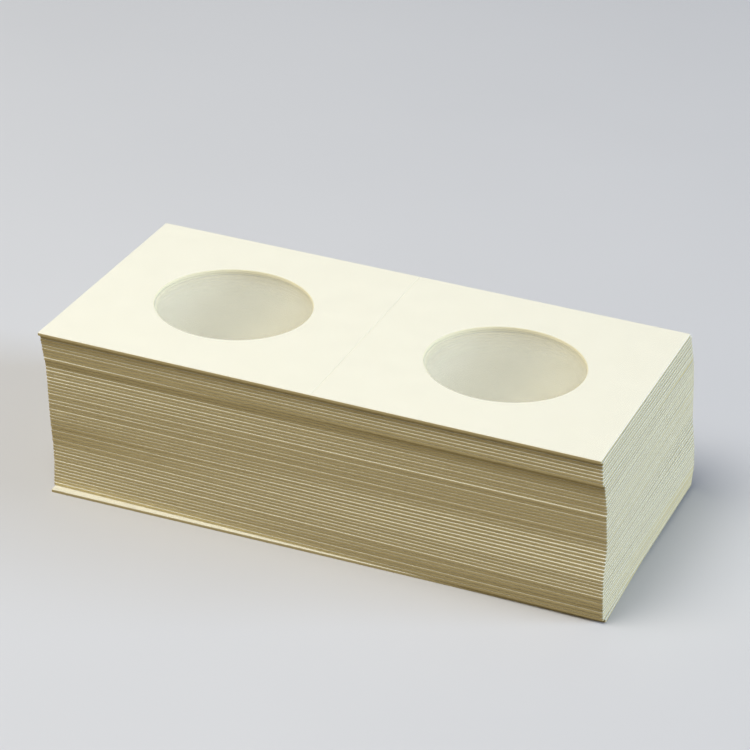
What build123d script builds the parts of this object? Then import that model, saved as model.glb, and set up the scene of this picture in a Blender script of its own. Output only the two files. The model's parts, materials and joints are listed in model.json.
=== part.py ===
"""A pack of card coin flips, stacked open and flat.

Each flip is a long card of two square halves, with a score across the middle and a round window
in each half. A clear film lies on the card's inner face and closes both windows. The stack stands
on the underside of its lowest card, centred on that card's score, with +X along the long side.
"""

import os
from math import sin

from build123d import *

# One flip
panel_side = 50.8  # each half is a square of this side
card_thickness = 0.55
film_thickness = 0.05
window_diameter = 28.0
corner_radius = 0.2
score_width = 0.4
score_depth = 0.12
fold_gap = 0.1  # left between the two halves of the flip that folds

# The stack
flip_count = 50
loose_flips = 6  # flips that lift off one by one, under the top one

# How the cards lie at some heights: the share of the way up from the lowest card to the top one, the
# shift along X, the shift across to the back, and the turn in degrees. Cards between follow in line.
stack_lies = (
    (0.00, 0.00, 0.00, 1.00),
    (0.02, 0.30, 0.40, -0.30),
    (0.16, 0.35, 0.35, -0.80),
    (0.28, 0.00, 0.60, -0.75),
    (0.45, -0.75, 1.10, 0.40),
    (0.655, -1.17, 1.05, 0.20),
    (0.670, -1.20, 1.13, 0.30),
    (0.80, -1.65, 1.30, 0.00),
    (0.837, -1.79, 1.06, 0.05),
    (0.857, -1.86, 0.95, -0.25),
    (0.88, -1.95, 0.85, -0.25),
    (0.98, -2.50, 1.00, 0.05),
    (1.00, -2.65, 0.50, 0.00),
)
slip = 0.02  # how far a card lies out of that line, each way
slip_twist = 0.02
slip_step_along = 2.4  # how fast the slips change from card to card, in radians
slip_step_across = 3.7
slip_step_twist = 1.9

flip_thickness = card_thickness + film_thickness
card_length = 2 * panel_side
window_centre = panel_side / 2
top_card = flip_count - 1
first_loose = top_card - loose_flips


def lie_at(height):
    """Shift along, shift across and turn of the stack at a share of its height."""
    for lower, upper in zip(stack_lies, stack_lies[1:]):
        if height <= upper[0]:
            share = (height - lower[0]) / (upper[0] - lower[0])
            return [start + share * (end - start) for start, end in zip(lower[1:], upper[1:])]


def place_of(index):
    """Where one flip lies: the middle of its card's underside, and its turn about Z."""
    along, across, turn = lie_at(index / top_card)
    if 0 < index < top_card:
        along += slip * sin(index * slip_step_along)
        across += slip * sin(index * slip_step_across)
        turn += slip_twist * sin(index * slip_step_twist)
    return Location((along, across, index * flip_thickness), (0, 0, turn))


def rounded_plate(length, width, thickness):
    """A flat sheet on the XY plane, its four corners rounded."""
    return extrude(RectangleRounded(length, width, corner_radius), thickness)


def whole_card():
    """One scored card with its two windows, the score pressed into the film side."""
    card = rounded_plate(card_length, panel_side, card_thickness)
    for side in (-1, 1):
        window = Cylinder(window_diameter / 2, 2 * card_thickness)
        card -= Pos(side * window_centre, 0, card_thickness / 2) * window
    score = Box(score_width, panel_side, 2 * score_depth)
    return card - Pos(0, 0, card_thickness) * score


def whole_film():
    """The clear film of one flip, on top of its card and trimmed flush with the card's edges."""
    film = rounded_plate(card_length, panel_side, film_thickness)
    return Pos(0, 0, card_thickness) * film


def half_of(sheet, side):
    """The part of a flip's sheet on one side of the fold, clear of the fold line."""
    keep = Box(panel_side, 2 * panel_side, 4 * flip_thickness)
    return sheet & Pos(side * (panel_side + fold_gap) / 2, 0, 0) * keep


def write(name, shape):
    """Saves one node's solids under its name."""
    export_step(shape, f"parts/{name}.step")


os.makedirs("parts", exist_ok=True)
card = whole_card()
film = whole_film()

for index in range(first_loose):
    write(f"flip_{index + 1:02d}_card", place_of(index) * card)
write("lower_flips_films", Compound([place_of(index) * film for index in range(first_loose)]))

for index in range(first_loose, top_card):
    write(f"flip_{index + 1:02d}_card", place_of(index) * card)
    write(f"flip_{index + 1:02d}_film", place_of(index) * film)

for side, half in ((-1, "left"), (1, "right")):
    write(f"top_flip_{half}_card", place_of(top_card) * half_of(card, side))
    write(f"top_flip_{half}_film", place_of(top_card) * half_of(film, side))
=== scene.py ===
# %% [markdown]
# # A pack of card coin flips
# A coin flip is a long white card of two square halves, with a round window in each half and a clear
# film over both windows. A coin lies on one window, the card is folded over it and stapled. New flips
# come as a pack, open and stacked flat, and that is what this scene shows.
#
# The CAD model holds every card and film at its real size and place. It is loaded first, and its box is
# kept, because the finish may not make the object bigger.

# %% Load the frame
import json
import math

import bmesh
import bpy
from mathutils import Matrix, Vector
from mathutils.geometry import convex_hull_2d

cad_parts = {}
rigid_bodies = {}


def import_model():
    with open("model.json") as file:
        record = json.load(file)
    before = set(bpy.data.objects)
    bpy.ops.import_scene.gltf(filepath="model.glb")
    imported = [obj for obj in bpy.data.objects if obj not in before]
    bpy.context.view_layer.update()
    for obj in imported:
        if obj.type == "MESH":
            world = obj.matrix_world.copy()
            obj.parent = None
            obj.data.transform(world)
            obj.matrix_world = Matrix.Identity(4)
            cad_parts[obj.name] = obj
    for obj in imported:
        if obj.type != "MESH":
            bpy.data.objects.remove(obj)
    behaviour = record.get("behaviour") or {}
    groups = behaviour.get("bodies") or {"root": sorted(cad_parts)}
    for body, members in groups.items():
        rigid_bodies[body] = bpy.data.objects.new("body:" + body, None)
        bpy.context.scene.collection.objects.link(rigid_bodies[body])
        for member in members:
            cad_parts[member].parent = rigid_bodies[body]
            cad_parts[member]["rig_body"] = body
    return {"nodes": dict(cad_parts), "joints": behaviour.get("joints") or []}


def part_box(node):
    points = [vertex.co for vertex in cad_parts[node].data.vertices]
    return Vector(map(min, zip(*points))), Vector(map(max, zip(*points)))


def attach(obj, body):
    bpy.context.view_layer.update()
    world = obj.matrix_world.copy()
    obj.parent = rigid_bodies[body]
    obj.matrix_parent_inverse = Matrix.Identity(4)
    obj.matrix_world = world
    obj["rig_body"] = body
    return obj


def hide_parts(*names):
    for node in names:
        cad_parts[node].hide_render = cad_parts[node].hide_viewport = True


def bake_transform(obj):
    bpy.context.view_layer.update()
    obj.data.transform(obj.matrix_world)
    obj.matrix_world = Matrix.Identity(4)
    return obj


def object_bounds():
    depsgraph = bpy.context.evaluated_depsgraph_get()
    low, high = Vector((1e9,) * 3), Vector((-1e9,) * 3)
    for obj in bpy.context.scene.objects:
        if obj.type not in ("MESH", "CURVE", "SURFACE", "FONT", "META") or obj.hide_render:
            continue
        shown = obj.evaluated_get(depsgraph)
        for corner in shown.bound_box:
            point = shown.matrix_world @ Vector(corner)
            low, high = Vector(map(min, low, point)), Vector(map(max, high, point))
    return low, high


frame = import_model()
cad_low, cad_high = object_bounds()
nodes = frame["nodes"]
scene = bpy.context.scene
MM = 0.001
print("CAD nodes:", len(nodes), "box in mm:", [round(side / MM, 2) for side in cad_high - cad_low])

# %% [markdown]
# ## Where each card lies
# No two cards in a loose pack lie quite in line. Each one has slipped and turned a little, and that is
# what draws the fine lines on the pack's sides. The places could be typed in, but the CAD model already
# has them, so they are measured: the middle of a card is the middle of its box, and its turn is the
# direction of the longest edge of its outline. An edge along the card and one across it differ by a
# right angle, so the turn is taken as what is left over from a quarter turn.

# %% Measure the cards
card_nodes = sorted(name for name in nodes if name.startswith("flip_") and name.endswith("_card"))
top_card_nodes = ["top_flip_left_card", "top_flip_right_card"]
top_film_nodes = ["top_flip_left_film", "top_flip_right_film"]


def lie_of(*names):
    """The place of a card: the middle of its underside, and its turn about the vertical."""
    points = [vertex.co for name in names for vertex in nodes[name].data.vertices]
    flat = [point.xy for point in points]
    rim = [flat[index] for index in convex_hull_2d(flat)]
    edges = [after - before for before, after in zip(rim, rim[1:] + rim[:1])]
    longest = max(edges, key=lambda edge: edge.length)
    turn = math.remainder(math.atan2(longest.y, longest.x), math.pi / 2)
    low, high = (Vector(pick(axis) for axis in zip(*points)) for pick in (min, max))
    middle = Vector(((low.x + high.x) / 2, (low.y + high.y) / 2, low.z))
    return Matrix.Translation(middle) @ Matrix.Rotation(turn, 4, "Z")


lies = {name: lie_of(name) for name in card_nodes}
top_lie = lie_of(*top_card_nodes)
first_name = card_nodes[0]
laid_square = lies[first_name].inverted()
first_points = [laid_square @ vertex.co for vertex in nodes[first_name].data.vertices]
half_length = max(point.x for point in first_points)
half_width = max(point.y for point in first_points)
card_thickness = max(point.z for point in first_points)
window_middle = Vector((half_length / 2, 0))
window_radius = min((point.xy - window_middle).length for point in first_points)
film_low, film_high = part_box(top_film_nodes[0])
film_thickness = film_high.z - film_low.z
print("half of a card:", round(half_length / MM, 2), "by", round(2 * half_width / MM, 2), "mm")
print("window radius:", round(window_radius / MM, 2), "mm, board:", round(card_thickness / MM, 3), "mm")

# %% [markdown]
# ## The cut edge of the board
# A steel knife cuts the cards from a sheet. It presses the upper edge round, draws the white face over
# it, leaves a straight tan wall and ends in a small sharp turn below. Light from above catches the white
# round edge and the wall stays in shade, so a stack of cut cards looks ruled with fine lines. A Bevel
# modifier would round both edges alike. Here the edge is a short list of steps, each with how far it is
# drawn in and how high it lies, and the same list shapes the outer edge and the wall of each window.

# %% Outline of one half
FACE_GAP = 0.01 * MM  # left free under and over each board, so that it never cuts into a film
EDGE_STEPS = [
    (0.03 * MM, FACE_GAP),  # the underside
    (0.0, 0.05 * MM),  # foot of the wall
    (0.0, 0.42 * MM),  # head of the wall
    (0.02 * MM, 0.48 * MM),  # start of the white rounding
    (0.09 * MM, card_thickness - FACE_GAP),  # the upper face
]
CORNER_RADIUS = 0.2 * MM
FOLD_REACH = 0.4 * MM
SIDE_STEPS = 36
CORNER_STEPS = 3


def run(start, end, steps=SIDE_STEPS):
    """Points from start towards end, without end itself."""
    return [start.lerp(end, step / steps) for step in range(steps)]


def corner(middle, radius, first_angle):
    """A quarter circle, anticlockwise."""
    angles = [math.radians(first_angle + 90 * step / CORNER_STEPS) for step in range(CORNER_STEPS + 1)]
    return [middle + radius * Vector((math.cos(angle), math.sin(angle))) for angle in angles]


def half_outline(drawn_in):
    """The rim of the right half, anticlockwise, from the near end of the fold round to it again."""
    far, side, radius = half_length - drawn_in, half_width - drawn_in, CORNER_RADIUS - drawn_in
    fold_near, fold_far = Vector((FOLD_REACH, -side)), Vector((FOLD_REACH, side))
    near_corner = corner(Vector((far - radius, radius - side)), radius, -90)
    far_corner = corner(Vector((far - radius, side - radius)), radius, 0)
    return (
        run(fold_near, near_corner[0])
        + near_corner[:-1]
        + run(near_corner[-1], far_corner[0])
        + far_corner[:-1]
        + run(far_corner[-1], fold_far)
        + run(fold_far, fold_near)
    )


print("points round one half:", len(half_outline(0)))

# %% [markdown]
# ## The mesh of one card
# Each half is a square with a round hole. A hole could be cut with a Boolean, which leaves long thin
# triangles. A ring of four-sided faces from the window to the rim is cleaner: every point of the rim has
# a partner on the circle, in the same direction from the window's middle. The left half is the right
# one mirrored.

# %% Build a half
FACE, CUT, PUNCHED = 0, 1, 2  # the slot of each finish on a card


def loop(bm, points, height, side):
    """A row of new vertices at one height, on the right half or mirrored to the left."""
    return [bm.verts.new((side * point.x, point.y, height)) for point in points]


def bridge(bm, first, second, material, count):
    """Faces between two rows of vertices, which close on themselves if count reaches their length."""
    for index in range(count):
        after = (index + 1) % len(first)
        face = bm.faces.new((first[index], first[after], second[after], second[index]))
        face.material_index = material


def circle_beside(outline, radius):
    """The point of the window's circle beside each point of the rim."""
    return [window_middle + radius * (point - window_middle).normalized() for point in outline]


def add_half(bm, steps, side, windowed):
    """One square half: its faces, its cut rim and, if it has one, the wall of its window."""
    outlines = [half_outline(drawn_in) for drawn_in, _ in steps]
    rims = [loop(bm, outline, step[1], side) for outline, step in zip(outlines, steps)]
    whole = len(rims[0])
    for lower, upper in zip(rims, rims[1:]):
        bridge(bm, lower, upper, FACE if upper is rims[-1] else CUT, whole - SIDE_STEPS)
    if not windowed:
        bm.faces.new(rims[0])
        bm.faces.new(rims[-1])
        return
    holes = [
        loop(bm, circle_beside(outline, window_radius + drawn_in), height, side)
        for outline, (drawn_in, height) in zip(outlines, steps)
    ]
    for lower, upper in zip(holes, holes[1:]):
        bridge(bm, lower, upper, PUNCHED, whole)
    bridge(bm, rims[0], holes[0], FACE, whole)
    bridge(bm, rims[-1], holes[-1], FACE, whole)


print("steps up the edge of a card:", len(EDGE_STEPS))

# %% [markdown]
# ## The score
# A blunt rule presses a shallow groove across the middle, so that the card folds there and nowhere else.
# The strip between the halves is a row of cross-sections, close enough together to bend in a smooth
# curve when the flip is folded. The groove is a soft dip in the height of each section.

# %% Build the fold strip and the whole sheet
SCORE_REACH = 0.12 * MM
SCORE_DEPTH = 0.09 * MM
FOLD_STEPS = 20
WELD_REACH = FACE_GAP / 100


def dip_at(x, depth):
    """How deep the score is pressed at a distance from the fold."""
    if abs(x) >= SCORE_REACH:
        return 0.0
    return depth * math.cos(math.pi / 2 * x / SCORE_REACH) ** 2


def arch_at(x, rise):
    """How far the underside is raised at a distance from the fold."""
    return rise * (1 - (x / FOLD_REACH) ** 2)


def fold_section(bm, steps, x, depth, rise):
    """The sheet cut across at x: along the underside, up one end, back along the top and down."""
    rows = [half_width - drawn_in for drawn_in, _ in steps]
    heights = [height for _, height in steps]
    across = [2 * step / SIDE_STEPS - 1 for step in range(SIDE_STEPS + 1)]
    inner = list(zip(rows, heights))[1:-1]
    points = [(share * rows[0], heights[0]) for share in across]
    points += inner
    points += [(-share * rows[-1], heights[-1]) for share in across]
    points += [(-row, height) for row, height in reversed(inner)]
    arch = arch_at(x, rise)
    press = 1 - (dip_at(x, depth) + arch) / heights[-1]
    return [bm.verts.new((x, y, arch + height * press)) for y, height in points]


def add_fold(bm, steps, depth, rise):
    """The strip that joins the two halves across the score."""
    places = [FOLD_REACH * (2 * step / FOLD_STEPS - 1) for step in range(FOLD_STEPS + 1)]
    sections = [fold_section(bm, steps, x, depth, rise) for x in places]
    wall = [CUT] * (len(steps) - 2)
    upper_edge = [FACE]
    kinds = [FACE] * SIDE_STEPS + wall + upper_edge + [FACE] * SIDE_STEPS + upper_edge + wall
    for before, after in zip(sections, sections[1:]):
        for index, kind in enumerate(kinds):
            beside = (index + 1) % len(kinds)
            face = bm.faces.new((before[index], before[beside], after[beside], after[index]))
            face.material_index = kind


def sheet_mesh(name, steps, windowed, depth, rise=0.0):
    """A closed sheet of two halves and a fold strip, welded where they meet."""
    bm = bmesh.new()
    for side in (-1, 1):
        add_half(bm, steps, side, windowed)
    add_fold(bm, steps, depth, rise)
    bmesh.ops.remove_doubles(bm, verts=bm.verts, dist=WELD_REACH)
    bmesh.ops.recalc_face_normals(bm, faces=bm.faces)
    open_edges = [edge for edge in bm.edges if not edge.is_manifold]
    mesh = bpy.data.meshes.new(name)
    bm.to_mesh(mesh)
    bm.free()
    print(name, "has", len(mesh.polygons), "faces and", len(open_edges), "open edges")
    return mesh


card_shape = sheet_mesh("card_shape", EDGE_STEPS, True, SCORE_DEPTH)

# %% [markdown]
# ## Lay out the pack
# One mesh serves for every card. Each copy is moved by changing its points, not its object, so that
# patterns measured in object space fall differently on every card. A copy stands for its CAD node, and
# rides on the body that the node belongs to.

# %% Place the lower cards
cards = []


def place(shape, name, lie):
    """A copy of a shape as a new object, moved to where it lies."""
    mesh = shape.copy()
    mesh.name = name
    mesh.transform(lie)
    piece = bpy.data.objects.new(name, mesh)
    scene.collection.objects.link(piece)
    return piece


for name in card_nodes:
    card = place(card_shape, "board_of_" + name, lies[name])
    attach(card, nodes[name]["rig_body"])
    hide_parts(name)
    cards.append(card)
print("cards placed:", len(cards))

# %% [markdown]
# ## The top flip
# The top flip is the one that can be folded. In the CAD model its halves are separate pieces on a hinge,
# but the real card and film run straight across the score. So each is one sheet here, with the fold strip
# between its halves. A bend pushes the strip's underside down a little before it turns up, so this card is
# arched there by a hair and stays clear of the flip below.

# %% Build the top flip
fold = next(joint for joint in frame["joints"] if joint["name"] == "top_flip_fold")
fold_line = Vector(fold["pos_m"])
FILM_STEPS = [
    (0.06 * MM, card_thickness),
    (0.08 * MM, card_thickness + film_thickness),
]
FILM_DIP = 0.04 * MM
FOLD_ARCH = 0.09 * MM


def bend_with_fold(piece, replaced):
    """Fixes a sheet of the top flip where it lies, and hides the CAD pieces that it stands for."""
    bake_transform(piece)
    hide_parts(*replaced)


top_card_shape = sheet_mesh("top_card_shape", EDGE_STEPS, True, SCORE_DEPTH, FOLD_ARCH)
top_card = place(top_card_shape, "board_of_top_flip", top_lie)
bend_with_fold(top_card, top_card_nodes)
cards.append(top_card)
film_shape = sheet_mesh("film_shape", FILM_STEPS, False, FILM_DIP)
top_film = place(film_shape, "film_of_top_flip", top_lie)
bend_with_fold(top_film, top_film_nodes)
print("fold line at", [round(value / MM, 2) for value in fold_line], "mm")

# %% [markdown]
# ## Wiring materials
# A material is a tree of nodes. A few small helpers keep the wiring readable: add makes a node and fills
# its sockets, with numbers or with links. new_group makes a node group with named inputs and outputs, and
# use_group places it in a material. math_node is one step of arithmetic, and new_material starts a
# material from the Principled shader.

# %% Node helpers
def add(tree, kind, sockets=None, **settings):
    """A new node: settings are its own choices, sockets are values or links for its inputs."""
    node = tree.nodes.new(kind)
    for key, value in settings.items():
        setattr(node, key, value)
    for key, value in (sockets or {}).items():
        if isinstance(value, bpy.types.NodeSocket):
            tree.links.new(value, node.inputs[key])
        else:
            node.inputs[key].default_value = value
    return node


def new_group(name, inputs, outputs):
    """An empty shader group with number inputs, and its first and last node."""
    tree = bpy.data.node_groups.new(name, "ShaderNodeTree")
    for label, value in inputs.items():
        socket = tree.interface.new_socket(label, in_out="INPUT", socket_type="NodeSocketFloat")
        socket.default_value = value
    for label in outputs:
        tree.interface.new_socket(label, in_out="OUTPUT", socket_type="NodeSocketFloat")
    return tree, tree.nodes.new("NodeGroupInput"), tree.nodes.new("NodeGroupOutput")


def use_group(tree, group, **values):
    """A group placed in a material, with its own values."""
    node = tree.nodes.new("ShaderNodeGroup")
    node.node_tree = group
    for label, value in values.items():
        node.inputs[label.replace("_", " ").capitalize()].default_value = value
    return node


def math_node(tree, operation, first, second):
    """The result of one step of arithmetic on two values."""
    return add(tree, "ShaderNodeMath", {0: first, 1: second}, operation=operation).outputs[0]


def new_material(name):
    """A material with only its output and a Principled shader, wired together."""
    material = bpy.data.materials.new(name)
    material.use_nodes = True
    tree = material.node_tree
    tree.nodes.clear()
    shader = add(tree, "ShaderNodeBsdfPrincipled")
    output = add(tree, "ShaderNodeOutputMaterial")
    tree.links.new(shader.outputs[0], output.inputs[0])
    return material, tree, shader


print("helpers:", [helper.__name__ for helper in (add, new_group, use_group, math_node, new_material)])

# %% [markdown]
# ## Board fibre
# White board is pressed wood fibre. Close up it is slightly cloudy, with a fine tooth that scatters
# light, and the knife drags the fibres along the cut. All finishes of the board use this group: it puts
# out a soft cloud and a fine tooth, and can draw the tooth out level for the cut edges.

# %% The fibre group
fibre_group, entry, result = new_group(
    "Board fibre", {"Cloud size": 6.0, "Tooth size": 0.2, "Stretch": 1.0}, ["Cloud", "Tooth"]
)
place_in_mm = add(
    fibre_group,
    "ShaderNodeVectorMath",
    {0: add(fibre_group, "ShaderNodeTexCoord").outputs["Object"], 1: (1 / MM,) * 3},
    operation="MULTIPLY",
).outputs[0]
cloud_scale = math_node(fibre_group, "DIVIDE", 1.0, entry.outputs["Cloud size"])
cloud = add(
    fibre_group,
    "ShaderNodeTexNoise",
    {"Vector": place_in_mm, "Scale": cloud_scale, "Detail": 3.0, "Roughness": 0.55},
)
along = math_node(fibre_group, "DIVIDE", 1.0, entry.outputs["Stretch"])
squeeze = add(fibre_group, "ShaderNodeCombineXYZ", {0: along, 1: along, 2: 1.0}).outputs[0]
drawn = add(
    fibre_group, "ShaderNodeVectorMath", {0: place_in_mm, 1: squeeze}, operation="MULTIPLY"
).outputs[0]
tooth_scale = math_node(fibre_group, "DIVIDE", 1.0, entry.outputs["Tooth size"])
tooth = add(
    fibre_group,
    "ShaderNodeTexNoise",
    {"Vector": drawn, "Scale": tooth_scale, "Detail": 4.0, "Roughness": 0.6},
)
fibre_group.links.new(cloud.outputs[0], result.inputs["Cloud"])
fibre_group.links.new(tooth.outputs[0], result.inputs["Tooth"])
print("group:", fibre_group.name)

# %% [markdown]
# ## Card by card
# Cards from different sheets differ a little in tone. A White Noise texture gives one number for each
# whole step of height, and with the height of one flip as the step, each card gets its own.

# %% The tone group
flip_pitch = card_thickness + film_thickness
tone_group, entry, result = new_group("Card tone", {"Step": flip_pitch / MM}, ["Tone"])
height = add(
    tone_group, "ShaderNodeSeparateXYZ", {0: add(tone_group, "ShaderNodeTexCoord").outputs["Object"]}
).outputs["Z"]
height_in_mm = math_node(tone_group, "DIVIDE", height, MM)
layer = add(
    tone_group,
    "ShaderNodeMath",
    {0: math_node(tone_group, "DIVIDE", height_in_mm, entry.outputs["Step"])},
    operation="FLOOR",
).outputs[0]
spread = add(tone_group, "ShaderNodeTexWhiteNoise", {"W": layer}, noise_dimensions="1D")
tone_group.links.new(spread.outputs["Value"], result.inputs["Tone"])
print("one tone for each", round(flip_pitch / MM, 2), "mm of height")

# %% [markdown]
# ## The face of the board
# The face is a warm white, nearly matt. Clouds of fibre and the card's own tone shift it by a hair, and
# the tooth roughens it. A Mix node gives a colour between two. It holds sockets for every kind of data
# under the same names, so the colours are reached by number: 6 and 7 go in, and 2 comes out.

# %% Board face material
FACE_WARM = (0.89, 0.87, 0.74)
FACE_WHITE = (0.90, 0.88, 0.75)


def between(tree, amount, first, second):
    """A colour between two, by a value from 0 to 1."""
    mix = add(tree, "ShaderNodeMix", {0: amount, 6: (*first, 1), 7: (*second, 1)}, data_type="RGBA")
    return mix.outputs[2]


def spread_over(tree, value, low, high):
    """A value from 0 to 1 moved to another range."""
    return add(tree, "ShaderNodeMapRange", {"Value": value, "To Min": low, "To Max": high}).outputs[0]


def bump_from(tree, height, strength, distance):
    """A surface normal tilted by a height."""
    sockets = {"Strength": strength, "Distance": distance, "Height": height}
    return add(tree, "ShaderNodeBump", sockets).outputs[0]


def fibre_surface(tree, shader, tooth, roughness, relief, depth, gloss):
    """Roughness and relief from the tooth of the fibre, and how strongly the board mirrors light."""
    tree.links.new(spread_over(tree, tooth, *roughness), shader.inputs["Roughness"])
    tree.links.new(bump_from(tree, tooth, relief, depth), shader.inputs["Normal"])
    shader.inputs["Specular IOR Level"].default_value = gloss


board_face, tree, shader = new_material("board_face")
fibre = use_group(tree, fibre_group, cloud_size=9.0, tooth_size=0.25)
tone = use_group(tree, tone_group)
both = math_node(tree, "ADD", fibre.outputs["Cloud"], tone.outputs["Tone"])
shift = math_node(tree, "MULTIPLY", both, 0.5)
tree.links.new(between(tree, shift, FACE_WARM, FACE_WHITE), shader.inputs["Base Color"])
tooth = fibre.outputs["Tooth"]
fibre_surface(tree, shader, tooth, roughness=(0.65, 0.85), relief=0.2, depth=0.02 * MM, gloss=0.3)
print("material:", board_face.name)

# %% [markdown]
# ## The cut edge
# Inside, the board is a duller tan than its white face, and the knife draws its fibres into short level
# streaks. Part of that tan is painted shade: the cut colours are set darker and warmer than the bare cut,
# so that the shaded sides of the pack come out tan. The streaks are the same fibre group, stretched. A Mix
# node blends them with the card's tone.
# For plain numbers, its sockets 2 and 3 go in, and 0 comes out.

# %% Cut edge material
# Partly the board's own tan and partly painted shade: darker and warmer than the bare cut, for the shade
# on the pack's sides.
CUT_DARK = (0.53, 0.435, 0.215)
CUT_PALE = (0.77, 0.66, 0.36)
CUT_TOOTH = {"tooth_size": 0.1, "stretch": 9.0}
STREAK_RANGE = (-0.4, 1.4)
TONE_SHARE = 0.3

board_cut, tree, shader = new_material("board_cut")
tooth = use_group(tree, fibre_group, **CUT_TOOTH).outputs["Tooth"]
tone = use_group(tree, tone_group)
streak = spread_over(tree, tooth, *STREAK_RANGE)
shift = add(tree, "ShaderNodeMix", {0: TONE_SHARE, 2: streak, 3: tone.outputs["Tone"]}).outputs[0]
tree.links.new(between(tree, shift, CUT_DARK, CUT_PALE), shader.inputs["Base Color"])
fibre_surface(tree, shader, tooth, roughness=(0.75, 0.95), relief=0.35, depth=0.03 * MM, gloss=0.2)
print("material:", board_cut.name)

# %% [markdown]
# ## The walls of the windows
# A round punch shears the windows out in one stroke. It leaves a smoother cut than the knife. Its paler,
# golden colour is painted light, for light thrown about inside the window. It has the same streaks, only
# fainter.

# %% Window wall material
# Painted light: the walls are painted paler and golder than the cut edges, for light thrown about inside
# each window.
WALL_GOLD_PAINTED_LIGHT = (0.90, 0.82, 0.50)
WALL_PALE_PAINTED_LIGHT = (0.97, 0.90, 0.62)

window_wall, tree, shader = new_material("window_wall")
tooth = use_group(tree, fibre_group, **CUT_TOOTH).outputs["Tooth"]
tree.links.new(between(tree, tooth, WALL_GOLD_PAINTED_LIGHT, WALL_PALE_PAINTED_LIGHT), shader.inputs["Base Color"])
fibre_surface(tree, shader, tooth, roughness=(0.6, 0.8), relief=0.2, depth=0.02 * MM, gloss=0.2)
for card in cards:
    for material in (board_face, board_cut, window_wall):
        card.data.materials.append(material)
print("material:", window_wall.name, "on", len(cards), "cards")

# %% [markdown]
# ## The clear film
# One film is nearly invisible, but each is a little hazy and mirrors a little light, and fifty of them
# in a pile turn the windows milky. Real refraction through a hundred surfaces would be slow and would
# run out of bounces, so the film lets light straight through by Alpha, which thins the shine along with
# the haze. The index of refraction is about that of polyester. Rays then need many transparent steps to
# reach the bottom of a window, so that limit is raised.
#
# A pile of real films also mirrors the walls of its window again and again, so the window looks paler
# towards both ends, cool at one and warm at the other. That reflection is painted: a Color Ramp gives the
# film's colour that change, by how far a point lies from the middle of its window along the card. Outside
# the window the film is stuck to white board, so there it keeps one colour and half the haze.

# %% Film material
CLEAR = (0.885, 0.87, 0.71, 1)
# Painted reflection of the window's walls: paler and cool at the left end, paler and warm at the right
# end.
LEFT_END_PAINTED_REFLECTION = (0.99, 0.99, 0.86, 1)
RIGHT_END_PAINTED_REFLECTION = (1.0, 0.97, 0.77, 1)
RIGHT_END_STOP = 0.9
WINDOW_EDGE = (1.0, 1.01)  # where the window ends and the board is reached, in shares of its radius
HAZE = (0.12, 0.18)
HAZE_ON_BOARD = 0.5
RIPPLE_SCALE = 160.0
RIPPLE_RELIEF = 0.15
RIPPLE_DEPTH = 0.2 * MM
FILM_ROUGHNESS = (0.16, 0.26)
FILM_IOR = 1.6
MOST_FILM_FACES = 128


def off_window(tree, where):
    """The way from the middle of the nearer window to a point, in shares of the window's radius."""
    from_fold = add(tree, "ShaderNodeVectorMath", {0: where, 1: fold_line}, operation="SUBTRACT")
    parts = add(tree, "ShaderNodeSeparateXYZ", {0: from_fold.outputs[0]}).outputs
    side = add(tree, "ShaderNodeMath", {0: parts["X"]}, operation="SIGN").outputs[0]
    middle = math_node(tree, "MULTIPLY", side, window_middle.x)
    along = math_node(tree, "SUBTRACT", parts["X"], middle)
    flat = add(tree, "ShaderNodeCombineXYZ", {0: along, 1: parts["Y"]})
    scale = {0: flat.outputs[0], "Scale": 1 / window_radius}
    return add(tree, "ShaderNodeVectorMath", scale, operation="SCALE").outputs[0]


def painted_wall_reflections(tree, off):
    """The film's colour inside a window, with a painted reflection of its walls: paler and cool at its
    left end, paler and warm at its right end.
    """
    along = add(tree, "ShaderNodeSeparateXYZ", {0: off}).outputs["X"]
    whole_window = {"Value": along, "From Min": -1.0, "From Max": 1.0}
    share = add(tree, "ShaderNodeMapRange", whole_window).outputs[0]
    ends = add(tree, "ShaderNodeValToRGB", {0: share})
    ends.color_ramp.interpolation = "EASE"
    ends.color_ramp.elements[0].color = LEFT_END_PAINTED_REFLECTION
    ends.color_ramp.elements[1].color = RIGHT_END_PAINTED_REFLECTION
    ends.color_ramp.elements[1].position = RIGHT_END_STOP
    ends.color_ramp.elements.new(0.5).color = CLEAR
    return ends.outputs[0]


clear_film, tree, shader = new_material("clear_film")
where = add(tree, "ShaderNodeTexCoord").outputs["Object"]
off = off_window(tree, where)
distance = add(tree, "ShaderNodeVectorMath", {0: off}, operation="LENGTH").outputs["Value"]
edge = {"Value": distance, "From Min": WINDOW_EDGE[0], "From Max": WINDOW_EDGE[1]}
outside = add(tree, "ShaderNodeMapRange", edge).outputs[0]
tints = {0: outside, 6: painted_wall_reflections(tree, off), 7: CLEAR}
tint = add(tree, "ShaderNodeMix", tints, data_type="RGBA").outputs[2]
tree.links.new(tint, shader.inputs["Base Color"])
ripples = {"Vector": where, "Scale": RIPPLE_SCALE, "Detail": 1.0}
ripple = add(tree, "ShaderNodeTexNoise", ripples).outputs[0]
haze_of_film = spread_over(tree, ripple, *HAZE)
haze_left = spread_over(tree, outside, 1.0, HAZE_ON_BOARD)
haze = math_node(tree, "MULTIPLY", haze_of_film, haze_left)
tree.links.new(haze, shader.inputs["Alpha"])
tree.links.new(bump_from(tree, ripple, RIPPLE_RELIEF, RIPPLE_DEPTH), shader.inputs["Normal"])
tree.links.new(spread_over(tree, ripple, *FILM_ROUGHNESS), shader.inputs["Roughness"])
shader.inputs["IOR"].default_value = FILM_IOR
film_pieces = [top_film] + [node for name, node in nodes.items() if name.endswith(("_film", "_films"))]
for _ in (FACE, CUT):
    top_film.data.materials.append(clear_film)
for piece in film_pieces:
    for slot in piece.material_slots:
        slot.material = clear_film
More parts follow.
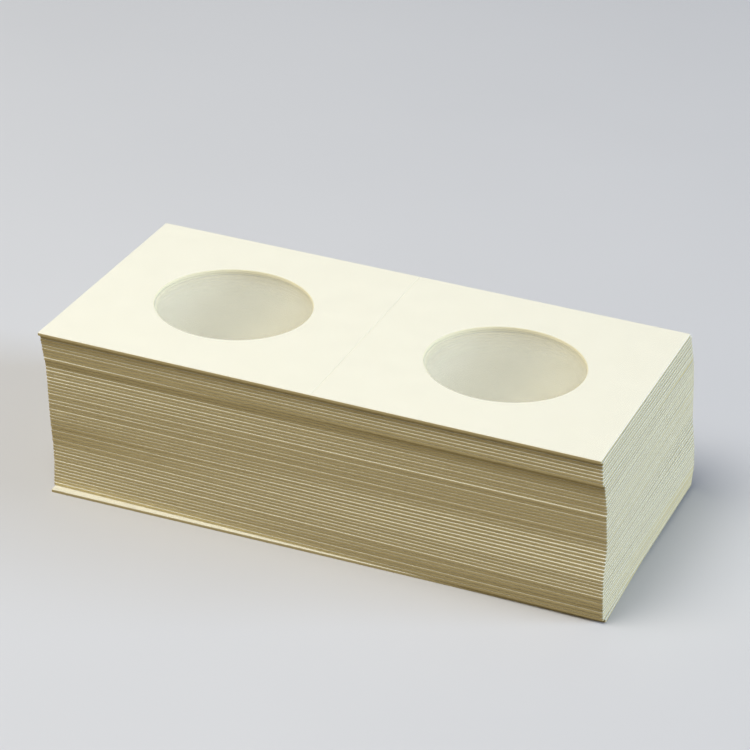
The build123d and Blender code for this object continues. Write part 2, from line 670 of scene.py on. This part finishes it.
scene.cycles.transparent_max_bounces = MOST_FILM_FACES
print("material:", clear_film.name, "on", len(film_pieces), "pieces")

# %% [markdown]
# ## Floor and surroundings
# The pack lies on a plain pale floor. The world has two jobs: it fills the shade with soft light, and it
# is the pale surround that the camera and the shiny film see. Light Path tells the two apart. The floor
# uses it too: it looks pale, but throws little light back up, so the gaps between the cards stay dark.

# %% Floor and world
FLOOR_SIDE = 8.0
FLOOR_CELLS = 4
FLOOR_GREY = (0.60, 0.605, 0.61)
FLOOR_PALE = (0.64, 0.645, 0.65)
FLOOR_BOUNCE = (0.11, 0.09, 0.06, 1)
FLOOR_ROUGHNESS = 0.8
SOFT_LIGHT = {"Color": (1.0, 0.95, 0.86, 1), "Strength": 0.10}
PALE_SURROUND = {"Color": (0.75, 0.76, 0.77, 1), "Strength": 1.0}


def seen_ray(tree):
    """1 for what the camera sees, also in a mirror or through glass, and 0 for light that only bounces."""
    path = add(tree, "ShaderNodeLightPath").outputs
    mirrored = math_node(tree, "MAXIMUM", path["Is Glossy Ray"], path["Is Transmission Ray"])
    return math_node(tree, "MAXIMUM", path["Is Camera Ray"], mirrored)


def build_floor():
    """A flat square under the pack, with a slightly uneven pale finish."""
    bm = bmesh.new()
    bmesh.ops.create_grid(bm, x_segments=FLOOR_CELLS, y_segments=FLOOR_CELLS, size=FLOOR_SIDE / 2)
    mesh = bpy.data.meshes.new("floor")
    bm.to_mesh(mesh)
    bm.free()
    floor = bpy.data.objects.new("floor", mesh)
    scene.collection.objects.link(floor)
    floor.location.z = cad_low.z
    material, tree, shader = new_material("pale_floor")
    where = add(tree, "ShaderNodeTexCoord").outputs["Object"]
    cloud = add(tree, "ShaderNodeTexNoise", {"Vector": where, "Scale": 12.0, "Detail": 3.0}).outputs[0]
    pale = between(tree, cloud, FLOOR_GREY, FLOOR_PALE)
    colours = {0: seen_ray(tree), 6: FLOOR_BOUNCE, 7: pale}
    shown = add(tree, "ShaderNodeMix", colours, data_type="RGBA").outputs[2]
    tree.links.new(shown, shader.inputs["Base Color"])
    shader.inputs["Roughness"].default_value = FLOOR_ROUGHNESS
    mesh.materials.append(material)


def build_world():
    """Soft light for the shade, and a pale surround for the camera and for reflections."""
    world = bpy.data.worlds.new("surround")
    scene.world = world
    world.use_nodes = True
    tree = world.node_tree
    tree.nodes.clear()
    seen = seen_ray(tree)
    soft = add(tree, "ShaderNodeBackground", SOFT_LIGHT).outputs[0]
    pale = add(tree, "ShaderNodeBackground", PALE_SURROUND).outputs[0]
    mix = add(tree, "ShaderNodeMixShader", {0: seen, 1: soft, 2: pale}).outputs[0]
    add(tree, "ShaderNodeOutputWorld", {0: mix})


build_floor()
build_world()
print("floor at", round(cad_low.z / MM, 3), "mm")

# %% [markdown]
# ## Lights
# Three soft lamps, hidden from the camera. A large one above and a little in front lights the top and
# grazes the front, where each ledge between the cards catches a fine line of light. A cooler one, far off
# to the right, lights the short side. It stands low, and its mirror image would wash out the film when
# seen from the left, so it throws no glare. A weak warm one at the front left fills the shade.

# %% Lamps
pack_middle = (cad_low + cad_high) / 2


def soft_lamp(name, spot, side, power, colour, glare=True):
    """A square area lamp that looks at the middle of the pack."""
    light = bpy.data.lights.new(name, "AREA")
    light.shape = "SQUARE"
    light.size = side
    light.energy = power
    light.color = colour
    lamp = bpy.data.objects.new(name, light)
    scene.collection.objects.link(lamp)
    lamp.location = spot
    lamp.rotation_mode = "QUATERNION"
    lamp.rotation_quaternion = (pack_middle - Vector(spot)).to_track_quat("-Z", "Y")
    lamp.visible_camera = False
    lamp.visible_glossy = glare


soft_lamp("lamp_above", spot=(-0.25, -0.25, 0.85), side=0.6, power=7.75, colour=(1.0, 0.98, 0.95))
soft_lamp("lamp_right", spot=(2.0, 0.5, 0.5), side=1.0, power=56.0, colour=(0.60, 0.74, 1.0), glare=False)
soft_lamp("lamp_front", spot=(-0.75, -0.80, 0.36), side=0.6, power=1.8, colour=(1.0, 0.84, 0.58))

# %% [markdown]
# ## Camera
# The camera stands a little to the right and above, with a long lens, so that the pack's sides run
# nearly parallel. It is tilted a few degrees about its own axis, as a hand-held one is.

# %% Camera
CAMERA_AZIMUTH = math.radians(20.693)
CAMERA_ELEVATION = math.radians(27.495)
CAMERA_ROLL = math.radians(2.763)
CAMERA_DISTANCE = 0.5162
CAMERA_TARGET = Vector((-0.00578, 0.01345, 0.0150))
LENS = 137.92
SENSOR_WIDTH = 36.0
NEAR_CLIP = 0.01


def build_camera():
    """A camera that looks at the target from its azimuth, elevation and distance."""
    level = math.cos(CAMERA_ELEVATION)
    back = Vector((
        math.sin(CAMERA_AZIMUTH) * level,
        -math.cos(CAMERA_AZIMUTH) * level,
        math.sin(CAMERA_ELEVATION),
    ))
    right = Vector((math.cos(CAMERA_AZIMUTH), math.sin(CAMERA_AZIMUTH), 0))
    level_turn = Matrix((right, back.cross(right), back)).transposed()
    turned = level_turn @ Matrix.Rotation(CAMERA_ROLL, 3, "Z")
    data = bpy.data.cameras.new("camera")
    data.sensor_width = SENSOR_WIDTH
    data.lens = LENS
    data.clip_start = NEAR_CLIP
    camera = bpy.data.objects.new("camera", data)
    scene.collection.objects.link(camera)
    camera.matrix_world = Matrix.Translation(CAMERA_TARGET + back * CAMERA_DISTANCE) @ turned.to_4x4()
    scene.camera = camera


build_camera()
scene.view_settings.view_transform = "Standard"
print("camera at", [round(value, 3) for value in scene.camera.location], "m")
